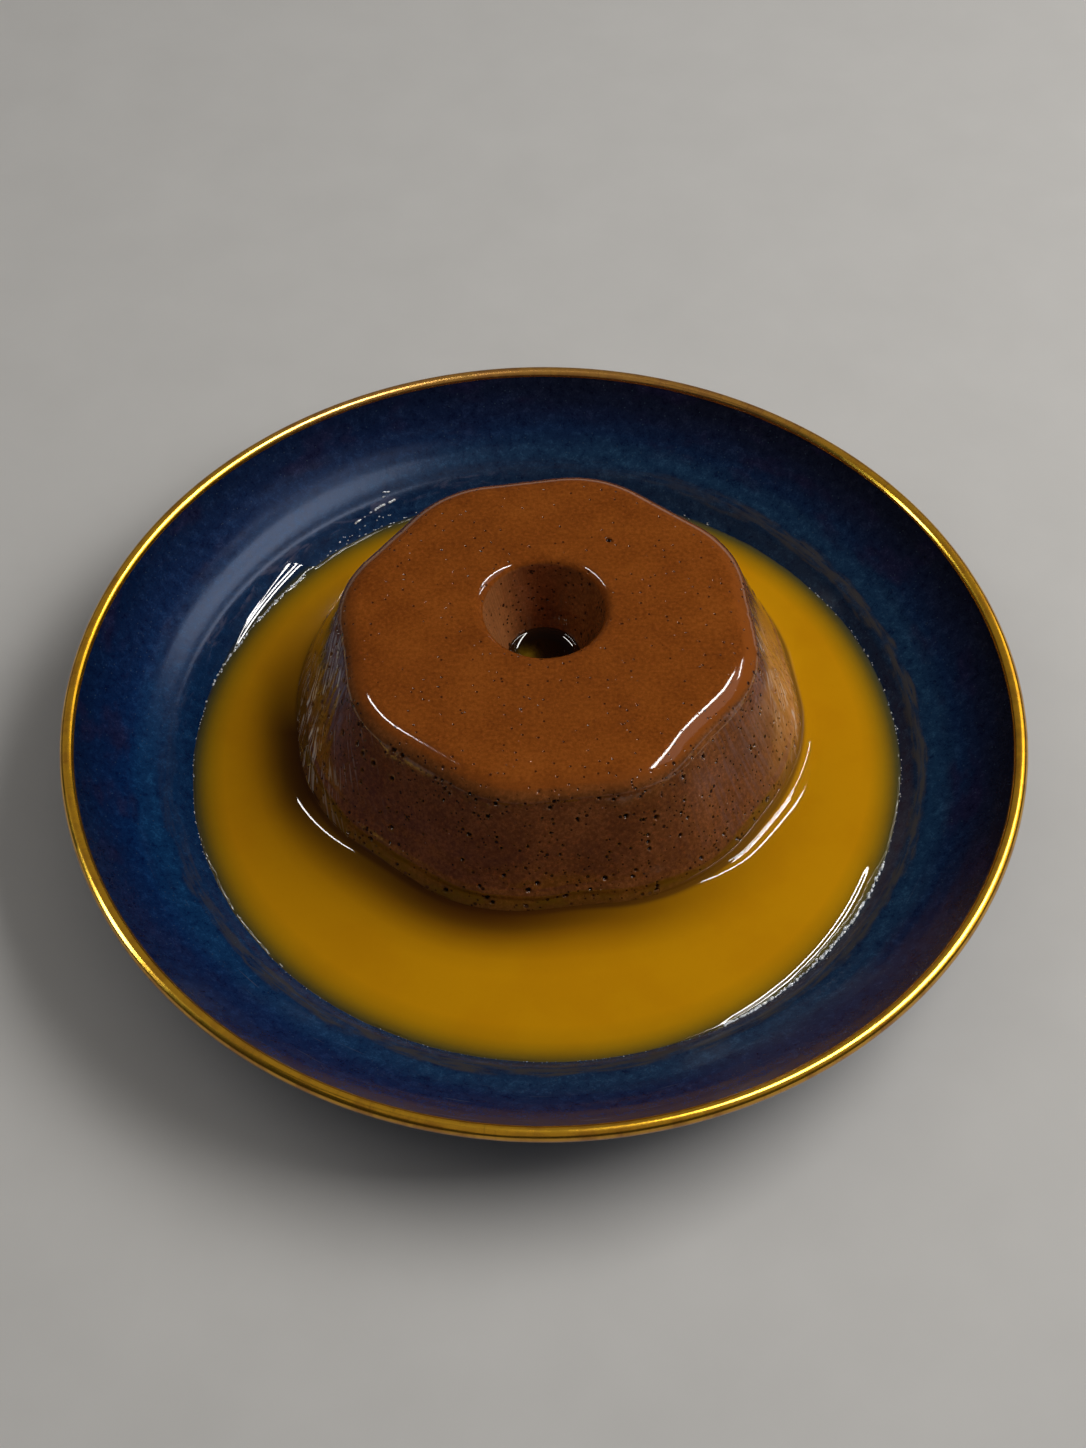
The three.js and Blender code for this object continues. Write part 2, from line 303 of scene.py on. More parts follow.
def add_object(name, data):
    made = bpy.data.objects.new(name, data)
    bpy.context.scene.collection.objects.link(made)
    return made


def mesh_values(mesh, name):
    """A mesh's points (co) or their normals (normal)."""
    flat = np.empty(len(mesh.vertices) * 3)
    mesh.vertices.foreach_get(name, flat)
    return flat.reshape(-1, 3)


def add_values(mesh, **values):
    """Gives the points of a mesh named values, which its material reads."""
    for name, numbers in values.items():
        layer = mesh.attributes.new(name, "FLOAT", "POINT")
        layer.data.foreach_set("value", np.asarray(numbers, float).ravel())


def add_piece(mesh, material, slot, *replaced):
    """Links a smooth-shaded piece, named as its mesh, that rides on the one body."""
    mesh.materials.append(material)
    mesh.shade_smooth()
    piece = add_object(mesh.name, mesh)
    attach(piece, BODY)
    if replaced:
        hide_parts(*replaced)
    return piece


# Material helpers


def new_material(name):
    """An empty material, and the socket that gives the place on the object."""
    material = bpy.data.materials.new(name)
    material.use_nodes = True
    nodes = material.node_tree.nodes
    nodes.clear()
    return material, nodes.new("ShaderNodeTexCoord").outputs["Object"]


def node(kind, inputs, near=None, **settings):
    """Adds a node. inputs maps a socket's name or number to a value or to another socket. The
    node joins the tree of the socket near, or else of its first linked input."""
    sockets = [value for value in (near, *inputs.values()) if isinstance(value, Socket)]
    tree = sockets[0].id_data
    made = tree.nodes.new(kind)
    for key, value in settings.items():
        setattr(made, key, value)
    for key, value in inputs.items():
        if isinstance(value, Socket):
            tree.links.new(value, made.inputs[key])
        else:
            made.inputs[key].default_value = value
    return made


def math_node(operation, *values):
    return node("ShaderNodeMath", dict(enumerate(values)), operation=operation).outputs[0]


def times(product, *others):
    for other in others:
        product = math_node("MULTIPLY", product, other)
    return product


def times_plus(value, factor, added):
    return math_node("MULTIPLY_ADD", value, factor, added)


def vector_node(operation, *values, output="Vector"):
    inputs = dict(enumerate(values))
    return node("ShaderNodeVectorMath", inputs, operation=operation).outputs[output]


def parts_of(vector):
    return node("ShaderNodeSeparateXYZ", {0: vector}).outputs


def round_place(place, radius, stretch, centre=(0, 0), upright=False):
    """Coordinates that go round +Z at the given radius. Their Z is the distance from the axis,
    or the height if upright, times stretch, so that noise in them runs round or up a form."""
    offset = vector_node("SUBTRACT", place, (*centre, 0))
    flat = vector_node("MULTIPLY", offset, (1, 1, 0))
    x, y, _ = parts_of(vector_node("NORMALIZE", flat))
    third = parts_of(offset)[2] if upright else vector_node("LENGTH", flat, output="Value")
    joined = node("ShaderNodeCombineXYZ", {0: x, 1: y, 2: third}).outputs[0]
    return vector_node("MULTIPLY", joined, (radius, radius, stretch))


def noise(place, lump, detail=3, roughness=0.55, distortion=0):
    """Noise of about 0 to 1, its lumps of the given size in mm."""
    inputs = dict(Vector=place, Scale=1 / (lump * MM), Detail=detail, Roughness=roughness)
    return node("ShaderNodeTexNoise", {**inputs, "Distortion": distortion}).outputs["Fac"]


def ramp(value, *stops):
    """Colours at shares of a value. Each stop is a share and a linear colour."""
    made = node("ShaderNodeValToRGB", {"Fac": value})
    elements = made.color_ramp.elements
    while len(elements) < len(stops):
        elements.new(0.5)
    for element, (share, *colour) in zip(elements, stops):
        element.position = share
        element.color = (*colour, 1)
    return made.outputs["Color"]


def spread(value, low, high, to_low=0, to_high=1, kind="SMOOTHSTEP"):
    """A value's range low to high, stretched to another range."""
    inputs = {0: value, 1: low, 2: high, 3: to_low, 4: to_high}
    return node("ShaderNodeMapRange", inputs, interpolation_type=kind).outputs[0]


def mix(share, first, second, blend="MIX"):
    """The first colour or socket where share is 0, blended with the second where it is 1."""
    first, second = (c if isinstance(c, Socket) else (*c, 1) for c in (first, second))
    inputs = {0: share, 6: first, 7: second}
    return node("ShaderNodeMix", inputs, data_type="RGBA", blend_type=blend).outputs[2]


def shaded(share, colour, factors):
    """A colour, multiplied by three factors where share is 1."""
    return mix(share, colour, factors, "MULTIPLY")


def attribute(place, name):
    """A named value of the mesh, for the material that place is in."""
    return node("ShaderNodeAttribute", {}, place, attribute_name=name).outputs["Fac"]


def specks(place, spacing, size):
    """Soft round specks, 1 at their middles: their mean spacing and their radius in mm."""
    cells = node("ShaderNodeTexVoronoi", {"Vector": place, "Scale": 1 / (spacing * MM)})
    edge, soft = size / spacing, 0.3
    return spread(cells.outputs["Distance"], edge * (1 + soft), edge * (1 - soft))


def thin_lines(pattern, width, core):
    """Lines along a noise's middle value, 1 within core of it and 0 beyond width."""
    return spread(math_node("ABSOLUTE", math_node("SUBTRACT", pattern, 0.5)), width, core)


def bump(height, distance, strength=1.0):
    """Normals from a height, its distance in mm."""
    inputs = dict(Height=height, Distance=distance * MM, Strength=strength)
    return node("ShaderNodeBump", inputs).outputs["Normal"]


def surface(material, colour, roughness, inputs):
    inputs = {"Base Color": colour, "Roughness": roughness, **inputs}
    shader = node("ShaderNodeBsdfPrincipled", inputs)
    node("ShaderNodeOutputMaterial", {"Surface": shader.outputs["BSDF"]})
    return material


# Materials


def glaze_colour(place):
    """Deep blue glaze: teal low on the wall, near black at the lip, brown over the ridge,
    violet in patches, and mottled all over, with painted reflections on the front wall and on the
    ridge at the back left, and painted highlights along the throwing rings. Also gives the mottling."""
    flat = vector_node("MULTIPLY", place, (1 / MM, 1 / MM, 0))
    x, y, _ = parts_of(flat)
    length = vector_node("LENGTH", flat, output="Value")
    drift = noise(round_place(place, WALL_RADIUS, 3.5), 14, 4)
    radius = math_node("ADD", length, spread(drift, 0.3, 0.7, -1, 1))
    colour = ramp(
        spread(radius, 100, 134, kind="LINEAR"),
        (0, 0.008, 0.024, 0.062),
        (0.16, 0.01, 0.026, 0.064),
        (0.24, 0.0065, 0.022, 0.06),
        (0.32, 0.0085, 0.033, 0.082),
        (0.4, 0.008, 0.03, 0.078),
        (0.52, 0.005, 0.0175, 0.06),
        (0.68, 0.0062, 0.0118, 0.04),
        (0.82, 0.006, 0.0088, 0.0245),
        (0.97, 0.0054, 0.0062, 0.0145),
    )
    # deeper, purer blue at the left
    leftward = spread(math_node("DIVIDE", x, length), 0.2, -0.95)
    colour = shaded(leftward, colour, (0.45, 0.85, 1))
    colour = mix(leftward, colour, (0, 0.0045, 0.026), "ADD")
    # violet and near-black clouds that run round the wall
    clouds = noise(round_place(place, WALL_RADIUS, 2), 17, 4)
    high = spread(radius, 111, 118)
    front = spread(math_node("DIVIDE", y, length), -0.25, -0.95)
    violet = times(spread(clouds, 0.5, 0.68, 0, 0.6), high, spread(front, 0, 1, 1, 0.3))
    colour = mix(violet, colour, (0.012, 0.0095, 0.037))
    # painted reflection: the front wall greys towards the lip
    colour = mix(front, colour, (0.0025, 0.0045, 0.011), "ADD")
    grey = times(front, spread(radius, 113, 124, 0, 0.85))
    colour = mix(grey, colour, (0.004, 0.0175, 0.082))
    # fine fibrous mottling
    worms = noise(place, 0.9, 4, 0.7, 1.2)
    blots = noise(place, 3.2, 4, distortion=0.5)
    mottling = times_plus(blots, 0.6, times(worms, 0.8))
    colour = shaded(spread(mottling, 0.7, 0.9), colour, (2.3, 2.0, 1.65))
    colour = shaded(spread(mottling, 0.69, 0.5), colour, (0.42, 0.42, 0.6))
    # greyish brown lines where the glaze thins over the ridge, in front and at the right
    toward = math_node("DIVIDE", math_node("SUBTRACT", x, y), length)
    broken = noise(round_place(place, WALL_RADIUS, 9), 9, 4)
    line = times(
        spread(radius, 104.6, 105.8),
        spread(radius, 109.2, 107.6),
        spread(toward, -1, 0.3, 0.1, 1),
        spread(broken, 0.36, 0.58, 0.15, 0.95),
    )
    colour = mix(line, colour, (0.05, 0.046, 0.046))
    # painted reflection: greyish violet patches on the ridge at the back left
    patches = noise(round_place(place, WALL_RADIUS, 4), 9, 6, 0.65, 1)
    patch = times(
        spread(patches, 0.48, 0.66, 0, 0.7),
        spread(length, 102.8, 104),
        spread(length, 107.2, 105.8),
        spread(toward, -0.95, -1.38),
    )
    colour = mix(patch, colour, (0.085, 0.088, 0.15))
    # pale flecks: partly the glaze's own speckle, partly painted glints
    colour = mix(times(specks(place, 1.9, 0.17), 0.55), colour, (0.05, 0.085, 0.12))
    # painted highlights: thin pale arcs along the throwing rings
    thin = noise(round_place(place, WALL_RADIUS, 34), 17, 1)
    colour = mix(times(spread(thin, 0.725, 0.79, 0, 0.7), front), colour, (0.085, 0.095, 0.13))
    return colour, mottling


def glaze_material():
    """Satin blue glaze, with bare clay on the foot."""
    material, place = new_material("blue_glaze")
    colour, mottling = glaze_colour(place)
    foot = spread(parts_of(place)[2], 1 * MM, 0.5 * MM)
    height = times_plus(noise(place, 6, 2), 2, noise(place, 1.2, 2))
    colour = mix(foot, colour, (0.34, 0.22, 0.13))
    roughness = spread(times_plus(foot, 2, mottling), 0.5, 2.5, 0.19, 0.8)
    return surface(material, colour, roughness, {"IOR": 1.36, "Normal": bump(height, 0.018)})


def gilding_material():
    """Hand-painted gold lustre: browner where thin, with faint ticks across it."""
    material, place = new_material("gilding")
    lip = 133 * MM
    blotches = noise(round_place(place, lip, 1), 7, 4)
    ticks = noise(round_place(place, lip, 0.2), 0.8, 2)
    colour = ramp(
        attribute(place, "across"),
        (0, 0.3, 0.135, 0.035),
        (0.22, 0.58, 0.28, 0.035),
        (0.45, 0.78, 0.42, 0.024),
        (0.75, 0.74, 0.41, 0.014),
        (0.93, 0.42, 0.245, 0.014),
    )
    # pinker gold towards the back
    behind = spread(parts_of(place)[1], 85 * MM, 130 * MM, 0, 0.55)
    colour = mix(behind, colour, (0.64, 0.32, 0.14))
    colour = shaded(spread(blotches, 0.58, 0.36, 0, 0.8), colour, (0.62, 0.52, 0.55))
    colour = shaded(spread(ticks, 0.6, 0.72, 0, 0.5), colour, (0.66, 0.58, 0.6))
    inputs = {
        "Metallic": 0.9,
        "Coat Weight": 0.45,
        "Coat Roughness": 0.12,
        "Coat IOR": 1.6,
        "Normal": bump(ticks, 0.012),
    }
    return surface(material, colour, spread(blotches, 0.35, 0.7, 0.24, 0.14), inputs)


def custard_material():
    """Dense chocolate custard under a wet film: mottled, with dark specks and pores and an
    olive band under its layering line. Painted light and sheen go on its top edge and in paler
    streaks at its corners, painted highlights in pale runs and glints, and painted shade in its
    pores and deep in its hole."""
    material, place = new_material("custard")
    upward = attribute(place, "upward")
    clouds = noise(place, 13, 5)
    grain = noise(place, 1.1, 4, 0.7)
    mixed = times_plus(grain, 0.65, times(clouds, 0.35))
    top = ramp(mixed, (0.36, 0.205, 0.049, 0.006), (0.5, 0.29, 0.074, 0.0086), (0.64, 0.385, 0.105, 0.013))
    side = ramp(mixed, (0.36, 0.134, 0.0415, 0.0088), (0.5, 0.22, 0.072, 0.0165), (0.64, 0.345, 0.12, 0.0325))
    colour = mix(upward, side, top)
    # thin reddish fibres in the skin
    hairs = thin_lines(noise(place, 2.6, 1, distortion=2), 0.04, 0.012)
    hairs = times(hairs, spread(grain, 0.5, 0.62, 0, 0.55))
    colour = mix(hairs, colour, (0.4, 0.09, 0.016))
    # painted light: a lighter orange band along the rounded top edge, strongest at the front right
    colour = mix(attribute(place, "edge"), colour, (0.34, 0.09, 0.013))
    # olive low down; up the corners, tan streaks of painted light and sheen, and greyish streaks of painted
    # sheen with some scuffs
    layers = noise(vector_node("MULTIPLY", place, (1, 1, 2.4)), 10, 4)
    olive = times(spread(layers, 0.4, 0.62, 0.3, 0.85), attribute(place, "olive"))
    colour = mix(olive, colour, (0.18, 0.092, 0.0055))
    streaks = noise(round_place(place, FLAN_MIDDLE, 0.12, FLAN_CENTRE, True), 1.3, 3, distortion=0.3)
    # painted light and sheen: tan up the right side, towards the key light, and on the hole's lit left wall
    tan = times(spread(streaks, 0.35, 0.65, 0.55, 1), attribute(place, "tan"))
    colour = mix(tan, colour, (0.74, 0.335, 0.11))
    # painted shade deep in the hole, at its back and left
    colour = shaded(attribute(place, "hole_red"), colour, (0.78, 0.58, 0.68))
    # painted sheen, with some scuffs, streaked up the corners
    scuffs = times(spread(streaks, 0.46, 0.64, 0.15, 1), attribute(place, "scuff"))
    colour = mix(scuffs, colour, (0.23, 0.15, 0.145))
    # painted highlights: thin pale runs down the wet film at the left and the right
    upright = round_place(place, FLAN_MIDDLE, 0.1, FLAN_CENTRE, True)
    twist = times(parts_of(upright)[0], parts_of(place)[2], -RUN_LEAN)
    leaning = node("ShaderNodeVectorRotate", {0: upright, "Angle": twist}, rotation_type="Z_AXIS")
    runs = thin_lines(noise(leaning.outputs[0], 2.6, 1, distortion=0.5), 0.036, 0.01)
    broken = spread(noise(place, 7, 2), 0.45, 0.56)
    colour = mix(times(runs, broken, attribute(place, "thread")), colour, (0.95, 0.84, 0.73))
    # reddish specks on the top, dark pores on the sides
    fine = specks(place, 2.7, 0.31)
    coarse = specks(vector_node("ADD", place, (0.02, 0.05, 0.03)), 4.4, 0.52)
    crowded = specks(vector_node("ADD", place, (0.05, 0.02, 0.06)), 1.7, 0.31)
    crowded = times(crowded, spread(noise(place, 8, 2), 0.44, 0.56))
    on_side = math_node("SUBTRACT", 1, upward)
    dots = math_node("MAXIMUM", fine, times(on_side, math_node("MAXIMUM", coarse, crowded)))
    colour = mix(times(dots, spread(upward, 0, 1, 0.92, 0.75)), colour, (0.022, 0.0055, 0.0018))
    # painted shade inside the pores
    colour = mix(attribute(place, "pit"), colour, (0.008, 0.0025, 0.0012))
    # painted highlights: tiny pale glints, as on small bubbles
    sparks = specks(vector_node("ADD", place, (0.01, 0.03, 0.01)), 6.5, 0.2)
    colour = mix(times(sparks, 0.6), colour, (0.62, 0.42, 0.3))
    height = times_plus(grain, 0.1, times(dots, -1))
    inputs = {
        "Specular IOR Level": 0,
        "Coat Weight": 1,
        "Coat Roughness": 0.045,
        "Coat IOR": 1.55,
        "Normal": bump(height, 0.22),
        "Coat Normal": bump(height, 0.1),
    }
    return surface(material, colour, 0.6, inputs)


def sauce_material():
    """Caramel sauce: amber where deep, olive and then clear over the blue glaze where it
    thins out, brown where it climbs the custard as a film, and darkened near the flan by painted
    shade and its painted shadow."""
    material, place = new_material("caramel_sauce")
    film = attribute(place, "film")
    haze = noise(place, 22)
    grain = noise(place, 1.6, 4)
    off_grain = math_node("SUBTRACT", grain, 0.5)
    depth = times_plus(off_grain, 0.05, attribute(place, "depth"))
    amber = ramp(
        depth,
        (0.1, 0.022, 0.037, 0.04),
        (0.29, 0.122, 0.094, 0.018),
        (0.44, 0.28, 0.164, 0.008),
        (0.62, 0.465, 0.24, 0.0042),
        (0.8, 0.605, 0.29, 0.0026),
        (1, 0.73, 0.33, 0.0018),
    )
    amber = shaded(spread(haze, 0.4, 0.65), amber, (0.96, 0.93, 0.9))
    amber = shaded(spread(grain, 0.55, 0.75, 0, 0.5), amber, (0.96, 0.94, 0.9))
    bare, _ = glaze_colour(place)
    colour = mix(spread(depth, 0.02, 0.2), bare, amber)
    colour = mix(spread(film, 0.05, 0.7), colour, (0.27, 0.115, 0.008))
    # painted shade and shadow: the sauce darkens near the flan's base, most in front and at the left
    colour = mix(attribute(place, "brown"), colour, (0.068, 0.0185, 0.0012))
    colour = mix(spread(film, 0.93, 0.99, 0, 0.45), colour, (0.26, 0.12, 0.06))
    return surface(material, colour, 0.035, {"IOR": 1.5, "Normal": bump(haze, 0.04, 0.4)})


def hole_sauce_material():
    """The sauce deep in the hole: nearly black from its depth and painted shade, with an amber spot of
    painted light at the left.
    """
    material, place = new_material("deep_sauce")
    amber_place = (*(HOLE_CENTRE + np.array([-5.0, 0.5]) * MM), HOLE_SAUCE_Z)
    from_amber = vector_node("DISTANCE", place, amber_place, output="Value")
    from_amber = times_plus(noise(place, 2.5), 3 * MM, from_amber)
    colour = ramp(
        spread(from_amber, 2 * MM, 7 * MM, kind="LINEAR"),
        (0, 0.21, 0.125, 0.006),
        (0.5, 0.05, 0.026, 0.002),
        (0.9, 0.014, 0.005, 0.0012),
    )
    colour = mix(attribute(place, "film"), colour, (0.045, 0.015, 0.004))
    return surface(material, colour, 0.035, {"IOR": 1.5})


def bead_material():
    """Froth at the sauce's edge, its whiteness partly painted sparkle: white in the thick
    runs, dim and blue elsewhere.
    """
    material, place = new_material("sauce_froth")
    pale = ramp(noise(place, 3, 2), (0.35, 0.78, 0.82, 0.9), (0.65, 0.95, 0.95, 0.92))
    colour = mix(attribute(place, "bright"), (0.1, 0.16, 0.24), pale)
    return surface(material, colour, 0.12, {"IOR": 1.4})


# Plate


def plate_outline():
    """The plate's section, from the underside out round the foot and the lip, and back."""
    lip_turn = np.radians(np.linspace(LIP_OUTER_ANGLE, LIP_INNER_ANGLE, 27))
    lip_arc = ring_row(lip_turn, LIP_RADIUS, 0, LIP_CENTRE)[:, :2]
    foot = (
        (-FOOT_FLARE, UNDERSIDE_Z),
        (-0.3 * MM, FOOT_ROUND + 1 * MM),
        (0, FOOT_ROUND),
        (FOOT_ROUND, 0),
    )
    underside = [(0.02, UNDERSIDE_Z), (0.045, UNDERSIDE_Z)]
    underside += [(FOOT_INNER_RADIUS + inward, height) for inward, height in foot]
    underside += [(FOOT_OUTER_RADIUS - inward, height) for inward, height in foot[::-1]]
    ridge_bend = ((RIDGE[0] + WELL_TOP[0]) / 2, RIDGE[1])
    floor_edge = (WELL_FLOOR_RADIUS, WELL_FLOOR_Z)
    curves = (
        bezier(lip_arc[-1], WALL_BEND, RIDGE, 60),
        bezier(RIDGE, ridge_bend, WELL_TOP, 12),
        bezier(WELL_TOP, (WELL_BEND_RADIUS, WELL_FLOOR_Z), floor_edge, 60),
    )
    inside = np.vstack(curves)
    # the glaze has flowed: the ridge is softer than its profile
    step, reach = 0.05 * MM, 70
    wall_radius = np.arange(inside[0][0], inside[-1][0], -0.45 * MM)
    fine_radius = np.arange(inside[-1][0], inside[0][0], step)
    fine_height = np.interp(fine_radius, inside[::-1, 0], inside[::-1, 1])
    blur = np.exp(-((np.arange(-reach, reach + 1) * step / RIDGE_SOFTNESS) ** 2))
    soft = np.convolve(np.pad(fine_height, reach, "edge"), blur / blur.sum(), "valid")
    near_ridge = plateau(fine_radius / MM, 99, 102, 110, 114)
    soft = between(fine_height, soft, near_ridge)
    wall = np.stack([wall_radius, np.interp(wall_radius, fine_radius, soft)], 1)
    outside = (
        bezier(underside[-1], (UNDERSIDE_BEND_RADIUS, UNDERSIDE_Z), SHOULDER, 14),
        bezier(SHOULDER, OUTSIDE_BEND, lip_arc[0], 20)[:-1],
    )
    well_floor = [floor_edge, (0.06, WELL_FLOOR_Z), (0.03, WELL_FLOOR_Z)]
    return np.vstack([underside, *outside, lip_arc, wall, well_floor])


def make_plate(material):
    rows = turned(plate_outline(), PLATE_TURNS)
    points = rows.reshape(-1, 3)
    radius = from_axis(points)
    wobble = 1.6 * lattice_noise(points, 30, 11)
    rings = np.sin(2 * math.pi * radius / THROWING_RING_SPACING + wobble)
    on_wall = plateau(radius / MM, 109, 113, 126, 130)
    strength = 1 + 0.8 * lattice_noise(points, 18, 12)
    lumps = 0.1 * MM * layered_noise(points, 34, 13, 2)
    points[:, 2] += (THROWING_RING_DEPTH * rings * strength + lumps) * on_wall
    mesh = ring_mesh("plate_glaze", rows, close=False)
    return add_piece(mesh, material, "blue_glaze", "plate")


def make_gilding(material):
    """A thin ring over the lip. Its edges wander a little, as brushed gold does."""
    around = full_turn(GILDING_TURNS)
    circle = ring_row(around, PLATE_RADIUS, 0)
    inner = GILDING_INNER_ANGLE + 4 * layered_noise(circle, 9, 21)
    outer = GILDING_OUTER_ANGLE + 9 * layered_noise(circle, 9, 22)
    rows, across = [], []

    def add_row(share, turn, radius):
        angle = np.radians(between(outer, inner, turn))
        height = LIP_CENTRE[1] + radius * np.sin(angle)
        rows.append(ring_row(around, LIP_CENTRE[0] + radius * np.cos(angle), height))
        across.append(np.full(GILDING_TURNS, share))

    for share in np.linspace(0, 1, 23):
        thickness = GILDING_THICKNESS * math.sin(math.pi * share) ** 0.3
        grain = 0.008 * MM * lattice_noise(circle, 5, 23)
        add_row(share, share, LIP_RADIUS + thickness + grain)
    for share in np.linspace(1, 0, 8):
        add_row(share, 0.02 + 0.96 * share, LIP_RADIUS - GILDING_EMBEDDED)
    mesh = ring_mesh("gilded_lip", rows)
    add_values(mesh, across=across)
    return add_piece(mesh, material, "gilding")


# Flan


def rounded_polygon(angles, apothem, corner):
    half = math.pi / FLAN_SIDES
    off = np.abs((angles - math.radians(FLAN_TURN) + half) % (2 * half) - half)
    inner = apothem - corner
    reach = inner / math.cos(half)
    aside = reach * np.sin(half - off)
    along = reach * np.cos(half - off)
    rounded = along + np.sqrt(np.maximum(corner**2 - aside**2, 0))
    is_flat = apothem * np.tan(off) <= inner * math.tan(half)
    return np.where(is_flat, apothem / np.cos(off), rounded)


def flan_radius(angles, rise, inset=0.0):
    """Distance from the flan's centre to its side, at a share of its height."""
    apothem = between(*FLAN_APOTHEMS, rise) - inset
    radius = rounded_polygon(angles, apothem, between(*FLAN_CORNERS, rise) - inset)
    for direction, base, top, width in FLAN_SWELLINGS:
        radius += between(base, top, rise) * MM * bump_near(angles, direction, width)
    return radius


def rounded_edge(radius, lean, steps):
    """Insets from the wall's line at the top and depths below it, from the wall upwards."""
    turn = math.pi / 2 - lean
    tilt = np.linspace(turn, 0, steps + 1)
    return radius * (math.tan(turn / 2) - np.sin(tilt)), radius * (1 - np.cos(tilt))


def hole_radius(height):
    return between(HOLE_BASE_RADIUS, HOLE_TOP_RADIUS, (height - FLAN_BASE_Z) / FLAN_HEIGHT)


def flan_rows():
    """Rows of points: up the side, over the edge and the top, and down the hole."""
    angles = full_turn(FLAN_TURNS)
    insets, depths = rounded_edge(FLAN_EDGE_ROUND, math.atan(FLAN_LEAN), 16)
    wall_rise = 1 - depths[0] / FLAN_HEIGHT
    rows = []

    def add_row(radius, height, centre):
        rows.append(ring_row(angles, radius, height, centre))

    for rise in np.linspace(0, wall_rise, 64)[:-1]:
        add_row(flan_radius(angles, rise), FLAN_BASE_Z + rise * FLAN_HEIGHT, FLAN_CENTRE)
    for inset, depth in zip(insets, depths):
        add_row(flan_radius(angles, 1, inset), FLAN_TOP_Z - depth, FLAN_CENTRE)
    hole_lean = math.atan((HOLE_TOP_RADIUS - HOLE_BASE_RADIUS) / FLAN_HEIGHT)
    mouth_insets, mouth_depths = rounded_edge(HOLE_EDGE_ROUND, hole_lean, 10)
    mouth = HOLE_TOP_RADIUS + mouth_insets[::-1]
    outer_row = rows[-1]
    inner_row = ring_row(angles, mouth[0], FLAN_TOP_Z, HOLE_CENTRE)
    for share in np.linspace(0, 1, 46)[1:-1]:
        rows.append(between(outer_row, inner_row, share))
    for radius, depth in zip(mouth, mouth_depths[::-1]):
        add_row(radius, FLAN_TOP_Z - depth, HOLE_CENTRE)
    for height in np.linspace(FLAN_TOP_Z - mouth_depths[0], HOLE_SAUCE_Z - 3 * MM, 18)[1:]:
        add_row(hole_radius(height), height, HOLE_CENTRE)
    add_row(HOLE_BASE_RADIUS, FLAN_BASE_Z, HOLE_CENTRE)
    return rows


def flan_pores(rng):
    """Bubbles in the custard's skin: a place, a radius and a depth for each. A negative
    depth is a blister."""
    pores = []

    def any_angle():
        return np.array([rng.uniform(0, 2 * math.pi)])

    def add_pore(angle, far, height, centre, radius, deepness):
        place = ring_row(angle, far, height, centre)[0]
        pores.append((place, radius * MM, radius * deepness * MM))

    for _ in range(SIDE_PORES):
        angle = any_angle()
        rise = float(np.clip(rng.normal(*PORE_BANDS[rng.integers(len(PORE_BANDS))]), 0.07, 0.91))
        height = FLAN_BASE_Z + rise * FLAN_HEIGHT
        add_pore(angle, flan_radius(angle, rise), height, FLAN_CENTRE, 0.38 + 0.52 * rng.random() ** 2, 1.1)
    for _ in range(TOP_PORES):
        angle = any_angle()
        radius = 0.22 + 0.16 * rng.random()
        far = flan_radius(angle, 1, 4 * MM) * rng.uniform(0.42, 1)
        add_pore(angle, far, FLAN_TOP_Z, FLAN_CENTRE, radius, 0.8 if rng.random() < 0.6 else -0.5)
    for _ in range(HOLE_PORES):
        angle = any_angle()
        height = rng.uniform(HOLE_SAUCE_Z + 1 * MM, FLAN_TOP_Z - 3 * MM)
        add_pore(angle, hole_radius(height), height, HOLE_CENTRE, 0.28 + 0.3 * rng.random() ** 2, 0.9)
    for x, y, radius, depth in TOP_BUBBLES:
        place = np.array([[x * MM, y * MM, FLAN_TOP_Z]])
        edge = flan_radius(angles_about(place, FLAN_CENTRE), 1, FLAN_EDGE_ROUND * 0.5)
        beyond = np.maximum(from_axis(place, FLAN_CENTRE) - edge, 0)
        place[:, 2] -= beyond**2 / (2 * FLAN_EDGE_ROUND)
        pores.append((place[0], radius * MM, depth * MM))
    return pores


def refine_near(mesh, pores):
    """Cuts the faces at the pores finer, so that each pore has a round rim."""
    points = mesh_values(mesh, "co")
    near = np.zeros(len(points), bool)
    for place, radius, _ in pores:
        near |= np.abs(points - place).max(axis=1) < radius + 0.5 * MM
    work = bmesh.new()
    work.from_mesh(mesh)
    work.verts.ensure_lookup_table()
    faces = [face for face in work.faces if any(near[vert.index] for vert in face.verts)]
    ordered = sorted({edge for face in faces for edge in face.edges}, key=lambda edge: edge.index)
    bmesh.ops.subdivide_edges(work, edges=ordered, cuts=2, use_grid_fill=True)
    work.to_mesh(mesh)
    work.free()
    mesh.update()


def layering_line(angles, points):
    """The share of the height at which one pouring of custard ends on the next."""
    wave = 0.03 * np.sin(angles * 2 + 0.6)
    return LAYERING_RISE + wave + 0.018 * lattice_noise(points, 11, 34)


